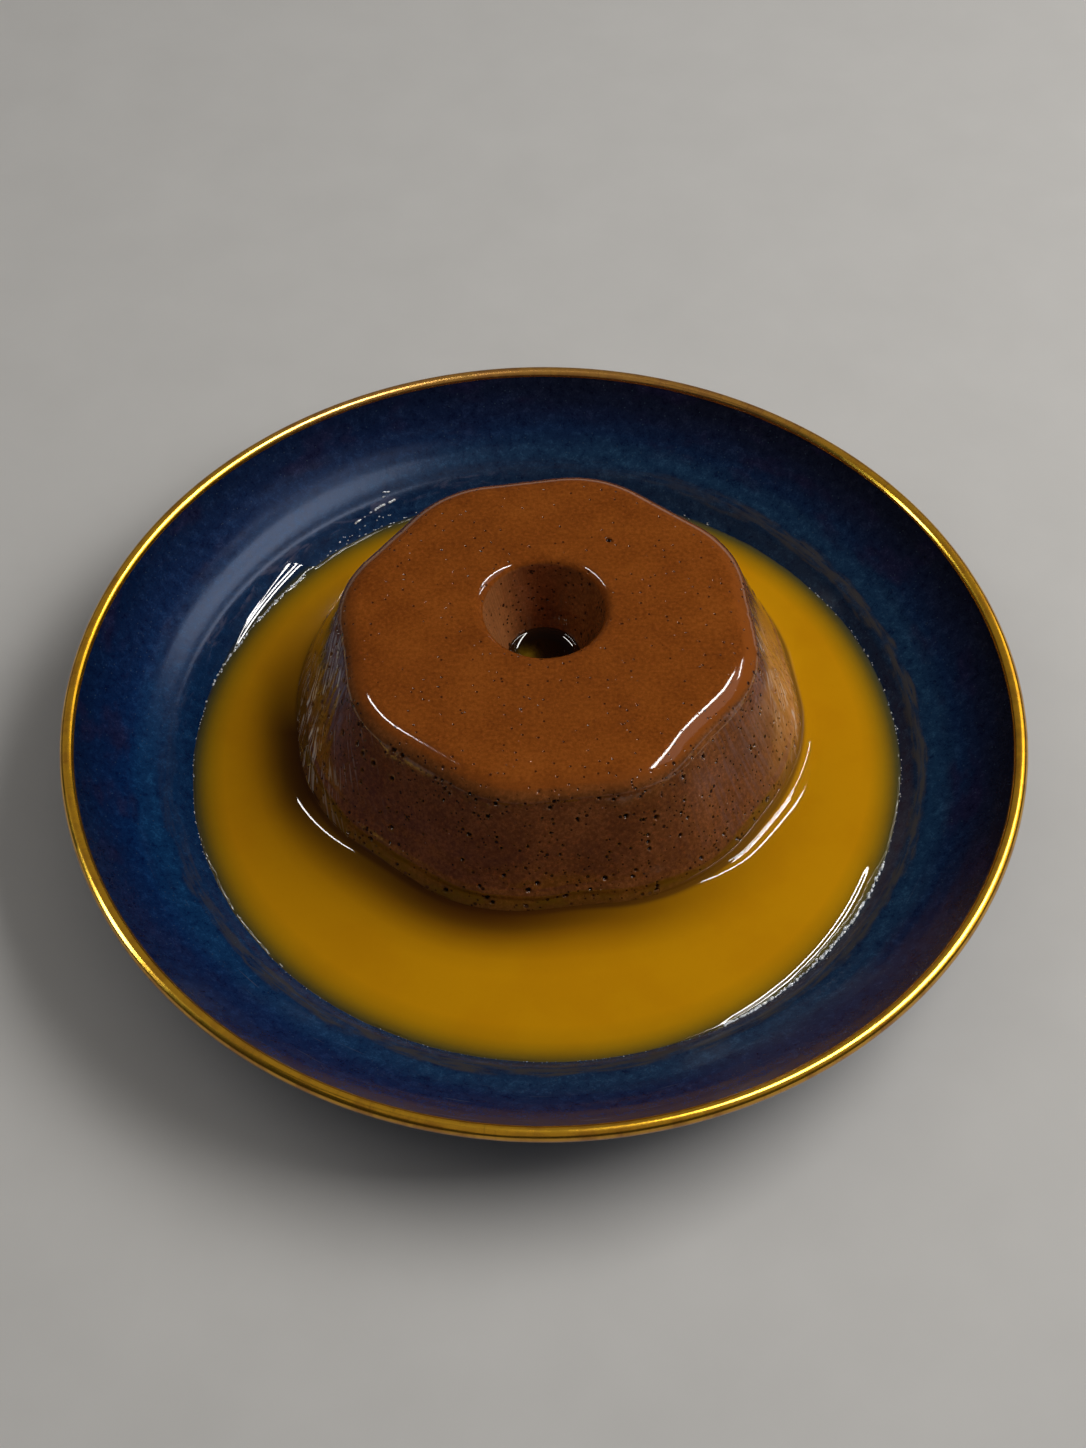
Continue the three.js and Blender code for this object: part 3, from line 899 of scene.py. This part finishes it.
def flan_waves(points, angles, rise):
    """The custard's slow unevenness, its wrinkled corners, its layering line, its drooping
    top and the wrinkled skin at its front edge."""
    moved = 0.05 * MM * layered_noise(points, 30, 31, 2)
    bend = 2.2 * MM * lattice_noise(points, 14, 32)
    along = np.stack([angles * 62 * MM + bend, points[:, 2] * 0.16, 0 * angles], 1)
    folds = layered_noise(along, 2.1, 33, 2) * plateau(rise, 0.1, 0.2, 0.9, 1)
    moved += 0.13 * MM * folds * (0.12 + bumps(angles, (1, -170, 15), (0.9, -2, 15), (0.3, 95, 50)))
    over_line = rise - layering_line(angles, points)
    moved += LAYERING_STEP * plateau(over_line, -0.035, 0, 0, 0.05)
    from_middle = from_axis(points, FLAN_CENTRE)
    inside = flan_radius(angles, 1) - from_middle
    moved -= FLAN_DROOP * ease(FLAN_DROOP_WIDTH, 0, inside) * ease(0.9, 0.98, rise)
    wrinkles = np.sin(2 * math.pi * from_middle / (1.5 * MM) + 5 * np.sin(angles * 21))
    at_edge = ease(0.955, 0.985, rise) * ease(53, 56, from_middle / MM)
    return moved + 0.08 * MM * wrinkles * at_edge * bump_near(angles, -82, 7)


def press_pores(points, pores):
    """How far each point moves in at a pore, and how much painted shade darkens it there."""
    moved = np.zeros(len(points))
    dark = np.zeros(len(points))
    for number, (place, radius, depth) in enumerate(pores):
        offset = points - place
        near = np.flatnonzero(np.abs(offset).max(axis=1) < 2.2 * radius)
        if not len(near):
            continue
        ragged = 1 + 0.22 * lattice_noise(points[near], 0.9 * radius / MM, 40 + number)
        distance = np.linalg.norm(offset[near], axis=1) / (radius * ragged)
        rim = np.exp(-(((distance - 1.25) / 0.2) ** 2))
        moved[near] += -depth * ease(1.05, 0.45, distance) + 0.08 * abs(depth) * rim
        if depth > 0:
            dark[near] = np.maximum(dark[near], ease(1.0, 0.55, distance))
    return moved, dark


def add_flan_values(mesh, points, level, angles, rise, outside, pit):
    """What the custard's material needs to know at each point. level is how far a point faces
    upwards, and outside is 0 in the hole."""
    side = outside * ease(0.6, 0.5, level)
    in_hole = (1 - outside) * ease(0.55, 0.4, level)
    hole_turn = angles_about(points, HOLE_CENTRE)
    facing = 0.25 + 0.75 * bump_near(angles, -25, 45)
    olive = ease(0.02, -0.02, rise - layering_line(angles, points))
    olive += 0.8 * bump_near(angles, 176, 14) * ease(0.72, 0.62, rise)
    # painted light and sheen, up the right side and on the hole's left wall
    tan = 0.95 * bump_near(angles, -4, 17) * side * plateau(rise, 0.12, 0.3, 0.7, 0.84)
    # painted sheen at the corners and the front right, with some scuffs at the front left
    scuff = 0.8 * bump_near(angles, -1, 17) * plateau(rise, 0.7, 0.8, 0.9, 0.95)
    scuff += 0.8 * bump_near(angles, 182, 16) * plateau(rise, 0.81, 0.88, 0.93, 0.97)
    scuff += 0.75 * bump_near(angles, -160, 6) * ease(0.55, 0.75, rise)
    scuff += bumps(angles, (0.3, -30, 20), (0.22, -168, 16)) * ease(0.2, 0.4, rise)
    add_values(
        mesh,
        pit=pit,
        upward=ease(0.46, 0.59, level - 0.27 * outside) * ease(0.4, 0.7, rise),
        # edge: the painted light along the rounded top edge
        edge=plateau(level, 0.5, 0.72, 0.9, 0.995) * facing * outside * ease(0.9, 0.94, rise),
        olive=np.clip(olive, 0, 1) * side,
        tan=tan + 0.45 * in_hole * bump_near(hole_turn, 180, 60),
        scuff=scuff * side,
        # where the painted highlight runs go
        thread=bumps(angles, (1, 189, 19), (0.5, -4, 11)) * side * ease(0.95, 0.85, rise),
        hole_red=in_hole * np.clip(bumps(hole_turn, (1, 90, 50), (0.45, 180, 40)), 0, 1),
    )


def make_flan(material):
    mesh = ring_mesh("flan_custard", flan_rows())
    pores = flan_pores(np.random.default_rng(7))
    refine_near(mesh, pores)
    points, normals = mesh_values(mesh, "co"), mesh_values(mesh, "normal")
    angles = angles_about(points, FLAN_CENTRE)
    rise = (points[:, 2] - FLAN_BASE_Z) / FLAN_HEIGHT
    pressed, dark = press_pores(points, pores)
    over_base = ease(0, 2 * MM, points[:, 2] - FLAN_BASE_Z)
    outside = ease(1 * MM, 6 * MM, from_axis(points, HOLE_CENTRE) - HOLE_TOP_RADIUS)
    shift = (pressed + flan_waves(points, angles, rise) * (0.3 + 0.7 * outside)) * over_base
    add_flan_values(mesh, points, normals[:, 2], angles, rise, outside, dark)
    mesh.vertices.foreach_set("co", (points + normals * shift[:, None]).ravel())
    mesh.update()
    return add_piece(mesh, material, "custard", "flan")


# Sauce


def well_height(radius):
    """Height of the plate's well at a distance from its middle."""
    radius = np.clip(radius, WELL_FLOOR_RADIUS, WELL_TOP[0])
    a = WELL_FLOOR_RADIUS - 2 * WELL_BEND_RADIUS + WELL_TOP[0]
    b = 2 * (WELL_BEND_RADIUS - WELL_FLOOR_RADIUS)
    c = WELL_FLOOR_RADIUS - radius
    share = (-b + np.sqrt(np.maximum(b * b - 4 * a * c, 0))) / (2 * a)
    return between(WELL_FLOOR_Z, WELL_TOP[1], share**2)


def plate_height(radius):
    """Height of the glazed inside of the plate, well and wall."""
    outline = plate_outline()
    wall = outline[np.argmax(outline[:, 1]) :]
    return np.interp(radius, wall[::-1, 0], wall[::-1, 1])


def smooth_line(angles):
    leaning = 1.7 * np.cos(angles + math.radians(60))
    leaning += bumps(angles, (-0.9, 148, 16), (0.7, -62, 14), (-0.5, -22, 16))
    return POOL_RADIUS + leaning * MM


def sauce_line(angles):
    """Radius of the sauce's ragged contact line. It is nearer the middle at the back left."""
    ragged = 0.16 * round_noise(angles, POOL_RADIUS, 7, 51)
    ragged += 0.09 * round_noise(angles, POOL_RADIUS, 1.3, 55, 1)
    return smooth_line(angles) + ragged * MM


def film_edge(angles):
    """Radius at which the wet film beyond the contact line ends: a wedge at the back left."""
    line = sauce_line(angles)
    turn = turn_from(angles, 138)
    wedge = ease(-4, 0, turn) * np.clip(1 - turn / 26, 0, 1)
    return line + FILM_BEYOND + np.maximum(FILM_WEDGE_RADIUS - line, 0) * wedge


def pool_ripple(radius, angles):
    """A low step in the sauce at the front right, where its skin has drawn back."""
    turn = turn_from(angles, 0)
    crest = 98.5 - (turn + 26) * 0.112 + 0.05 * round_noise(angles, POOL_RADIUS, 6, 57, 1)
    climbed = 1 + np.tanh((radius - crest * MM) / RIPPLE_WIDTH)
    return plateau(turn, -67, -60, -27, -19) * RIPPLE_SLOPE * RIPPLE_WIDTH * climbed


def pool_height(radius, angles):
    """Height of the sauce: level, rounded down or drawn up to its contact line, and a thin
    film beyond."""
    line = sauce_line(angles)
    ground = well_height(radius)
    bank_slope = POOL_BANK_SLOPE * (1 - 0.62 * bump_near(angles, 213, 26))
    bank = well_height(line) + bank_slope * (line - radius)
    # the sauce falls away gently to where its line is low in the well
    drop = np.maximum(POOL_LEVEL_Z - well_height(smooth_line(angles)) - 0.12 * MM, 0)
    level = POOL_LEVEL_Z + pool_ripple(radius, angles) - drop * ease(62, 100, radius / MM)
    banked = -soft_max(-level, -bank, POOL_BLEND)
    height = soft_max(banked, ground + POOL_FILM, POOL_BLEND)
    return between(ground, height, ease(0, 1.2 * MM, film_edge(angles) - radius))


def make_pool(material):
    turns = full_turn(POOL_TURNS)
    rise = (POOL_LEVEL_Z - FLAN_BASE_Z) / FLAN_HEIGHT
    contact = ring_row(turns, flan_radius(turns, rise), 0, FLAN_CENTRE)
    angles = angles_about(contact, (0, 0))
    # the sauce climbs the custard, but hardly at the back and the left
    low = plateau((np.degrees(turns) + 90) % 360, 140, 180, 272, 296)
    climb = 2.6 - 0.9 * bump_near(turns, -95, 30) - 2.58 * low
    climb = (climb + 0.05 * round_noise(turns, 73 * MM, 14, 61, 1)) * MM
    start = from_axis(contact) - climb * FLAN_LEAN - 0.9 * MM * low
    end = film_edge(angles)
    inner_reach, outer_reach = 5.5 * MM, 6.5 * MM
    # painted shade round the flan's base, and its painted shadow at the left and the front left
    brown_side = np.minimum(bumps(turns, (1, -105, 54), (0.85, 193, 20)), 1)
    brown_back = 0.13 * bump_near(turns, -150, 42)
    clear_radius = 99.4 + 0.8 * np.cos(angles) - 2.3 * np.sin(angles)
    clear_radius += bumps(angles, (1.2, 48, 25), (1.1, 128, 24), (1.2, -75, 22))
    rows, depths, films, browns = [], [], [], []

    def add_row(radius, height, film):
        from_wall = np.maximum(radius - start, 0)
        rows.append(ring_row(angles, radius, height))
        depths.append(np.clip((clear_radius + 3.2 - radius / MM) / 11.2, 0, 1))
        films.append(film * np.ones(POOL_TURNS))
        near = 0.97 * brown_side * np.exp(-((from_wall / BROWN_SPAN) ** 2.5))
        browns.append(np.maximum(near, brown_back))

    for share in (1.0, 0.7, 0.4, 0.15):
        # the film on the custard above the meniscus
        up = share * 1.3 * MM
        proud = (0.06 - 0.16 * share) * MM
        add_row(start - up * FLAN_LEAN + proud, POOL_LEVEL_Z + climb + up, 0.9 + 0.1 * share)
    reach = end - outer_reach - start - inner_reach
    steps = [(inner_reach * share, 0, 0) for share in np.linspace(0, 1, 18) ** 1.4]
    steps += [(inner_reach, share, 0) for share in np.linspace(0, 1, 8)[1:]]
    steps += [(inner_reach, 1, outer_reach * share) for share in np.linspace(0, 1, 66)[1:]]
    for inner, middle, outer in steps:
        radius = start + inner + reach * middle + outer
        from_wall = radius - start
        lift = climb * np.exp(-from_wall / MENISCUS_SPAN)
        film = 0.9 * np.exp(-((from_wall / (1.4 * MM)) ** 2))
        add_row(radius, pool_height(radius, angles) + lift, film)
    for share in np.linspace(1, 0, 8):
        radius = between(start, end, share)
        sunk = np.where(radius > WELL_FLOOR_RADIUS, POOL_SUNK, -POOL_SUNK)
        add_row(radius, well_height(radius) - sunk, 0)
    mesh = ring_mesh("caramel_pool", rows[::-1])
    add_values(mesh, depth=depths[::-1], film=films[::-1], brown=browns[::-1])
    return add_piece(mesh, material, "caramel_sauce", "sauce_pool")


def make_beads(material):
    """Tiny bubbles along the sauce's contact line, in thick runs and single, their whiteness partly painted
    sparkle.
    """
    rng = np.random.default_rng(19)
    work = bmesh.new()
    bmesh.ops.create_icosphere(work, subdivisions=2, radius=1)
    ball = np.array([vert.co[:] for vert in work.verts])
    ball_faces = np.array([[vert.index for vert in face.verts] for face in work.faces])
    work.free()
    points, faces, bright = [], [], []
    for start, end, spacing, least, greatest, brightness, first, last, scatter in BEAD_RUNS:
        count = int(math.radians(end - start) * POOL_RADIUS / MM / spacing)
        share = np.sort(rng.random(count))
        angles = np.radians(between(start, end, share))
        beyond = between(first, last, share) + rng.normal(0.05, scatter, count)
        radii = sauce_line(angles) + beyond * MM
        heights = np.maximum(pool_height(radii, angles), plate_height(radii))
        for angle, radius, height in zip(angles, radii, heights):
            size = between(least, greatest, rng.random() ** 1.6) * MM
            long = size * rng.uniform(1.0, 2.2)
            out = np.array([math.cos(angle), math.sin(angle), 0])
            axes = np.array([out, (-out[1], out[0], 0), (0, 0, 1)])
            faces.append(ball_faces + len(ball) * len(points))
            place = out * radius + (0, 0, height + size * 0.25)
            points.append(place + ball * (size, long, size * 0.8) @ axes)
            bright.append(np.full(len(ball), brightness * rng.uniform(0.5, 1.0)))
    mesh = face_mesh("sauce_froth", np.concatenate(points), np.concatenate(faces).tolist())
    add_values(mesh, bright=bright)
    return add_piece(mesh, material, "caramel_sauce")


def make_hole_sauce(material):
    """The sauce in the hole, its surface drawn up a little where it meets the custard."""
    level_radius = hole_radius(HOLE_SAUCE_Z)
    profile, films = [], []
    for height in np.linspace(FLAN_BASE_Z + 0.5 * MM, HOLE_SAUCE_Z + 0.8 * MM, 8):
        profile.append((hole_radius(height) + 0.15 * MM, height))
        films.append(0.6)
    for share in np.linspace(1, 0.04, 22):
        off = level_radius * (1 - share) / HOLE_MENISCUS_SPAN
        profile.append((level_radius * share, HOLE_SAUCE_Z + HOLE_MENISCUS * math.exp(-off)))
        films.append(0.6 * math.exp(-(off**2)))
    mesh = ring_mesh("hole_caramel", turned(profile, HOLE_SAUCE_TURNS, HOLE_CENTRE), close=False)
    # the last two points are the middles of the ends
    add_values(mesh, film=[*np.repeat(films, HOLE_SAUCE_TURNS), 0, 0])
    return add_piece(mesh, material, "caramel_sauce", "hole_sauce")


# Stage, lights, camera


def make_floor():
    half = 3.0
    corners = [(-half, -half, 0), (half, -half, 0), (half, half, 0), (-half, half, 0)]
    mesh = face_mesh("floor", corners, [(0, 1, 2, 3)])
    material, place = new_material("pale_floor")
    colour = ramp(noise(place, 30), (0.3, 0.78, 0.77, 0.75), (0.7, 0.81, 0.8, 0.78))
    mesh.materials.append(surface(material, colour, 0.7, {}))
    floor = add_object("floor", mesh)
    floor.location.z = -0.02 * MM


def add_light(
    name, azimuth, elevation, width, height, radiance, colour, gloss_on=None, roll=0, distance=LIGHT_DISTANCE
):
    """A rectangle far off, sized in degrees as the dish sees it and rolled from level. With
    gloss_on, it only shows as a reflection in those pieces. Otherwise it only lights matt
    surfaces."""
    turn, lift = math.radians(azimuth), math.radians(elevation)
    away = Vector((math.cos(lift) * math.cos(turn), math.cos(lift) * math.sin(turn), math.sin(lift)))
    lamp = bpy.data.lights.new(name, "AREA")
    lamp.shape = "RECTANGLE"
    lamp.size = 2 * distance * math.tan(math.radians(width / 2))
    lamp.size_y = 2 * distance * math.tan(math.radians(height / 2))
    lamp.energy = radiance * math.pi * lamp.size * lamp.size_y
    lamp.color = colour
    light = add_object(name, lamp)
    light.location = LIGHT_TARGET + away * distance
    rolled = Quaternion((0, 0, 1), math.radians(roll))
    light.rotation_euler = ((-away).to_track_quat("-Z", "Y") @ rolled).to_euler()
    light.visible_diffuse = gloss_on is None
    light.visible_glossy = gloss_on is not None
    if gloss_on:
        receivers = bpy.data.collections.new(name)
        for piece in gloss_on:
            receivers.objects.link(piece)
        light.light_linking.receiver_collection = receivers


def make_lights(plate, gilding, flan, pool, froth, hole_sauce):
    white, cool, warm = (1, 0.98, 0.95), (0.66, 0.78, 1.0), (1, 0.95, 0.88)
    golden = (1, 0.84, 0.5)
    wet_custard, wet_pool = (flan, hole_sauce), (pool, froth)
    lights = (
        # name, azimuth, elevation, width, height, radiance, colour, what mirrors it, roll,
        # distance
        # soft light on everything
        ("key_soft", 12, 46, 46, 30, 4.4, white),
        ("left_fill", 170, 45, 40, 30, 0.6, white),
        ("overhead", -90, 80, 70, 70, 0.22, warm),
        # the window's panes and a second one at the left, in what is wet
        ("window_upper", 12, 58, 44, 4.0, 28, white, wet_custard),
        ("window_lower", 31, 40, 13, 2.6, 22, white, wet_custard),
        ("window_upper_sauce", 12, 58, 44, 1.5, 30, white, wet_pool),
        ("window_lower_sauce", 13, 40, 44, 1.3, 30, white, wet_pool),
        ("window_pane_a", 10, 43.8, 24, 1.3, 42, white, (pool,)),
        ("window_pane_b", 10, 47.0, 24, 1.3, 42, white, (pool,)),
        ("window_glow", 12, 47, 40, 24, 0.5, white, (flan,)),
        ("left_strip", 158, 55, 22, 3.2, 28, white, wet_custard, 50),
        ("left_strip_sauce", 163, 52, 32, 1.7, 26, white, wet_pool),
        ("back_strip", 102.5, 33.5, 13, 5.5, 34, white, wet_pool, 40, 4.0),
        ("froth_glow", 40, 55, 70, 50, 13, white, (froth,)),
        # the ceiling in the satin glaze
        ("ceiling_patch", 38, 64, 29, 12, 5.0, (0.68, 0.77, 1.0), (plate,), -52),
        ("ceiling_soft", 22, 68, 34, 24, 0.8, cool, (plate,)),
        # the gilding mirrors the window and a dim room all round
        ("left_low", 177, 30, 8, 34, 20, cool, (gilding,), 25),
        ("gold_window", 24, 38, 50, 30, 1.6, (1, 0.85, 0.3), (gilding,)),
        ("gold_pane", 22, 60, 25, 34, 15, (0.88, 0.94, 1.0), (gilding,)),
        ("gold_room", -60, 62, 80, 60, 0.25, golden, (gilding,)),
        ("gold_back", 100, 50, 100, 74, 0.22, golden, (gilding,)),
    )
    for light in lights:
        add_light(*light)
    world = bpy.data.worlds.new("dim_room")
    world.use_nodes = True
    background = world.node_tree.nodes["Background"]
    background.inputs["Color"].default_value = (0.85, 0.9, 1.0, 1)
    background.inputs["Strength"].default_value = 0.02
    bpy.context.scene.world = world


def make_camera():
    lens = bpy.data.cameras.new("camera")
    lens.lens = CAMERA_LENS
    lens.sensor_width = SENSOR_WIDTH
    lens.clip_start = 0.01
    camera = add_object("camera", lens)
    camera.location = CAMERA_PLACE
    camera.rotation_euler.x = math.radians(CAMERA_TILT)
    bpy.context.scene.camera = camera


make_camera()
make_floor()
plate = make_plate(glaze_material())
gilding = make_gilding(gilding_material())
flan = make_flan(custard_material())
pool = make_pool(sauce_material())
froth = make_beads(bead_material())
hole_sauce = make_hole_sauce(hole_sauce_material())
make_lights(plate, gilding, flan, pool, froth, hole_sauce)
bpy.context.scene.view_settings.view_transform = "Standard"
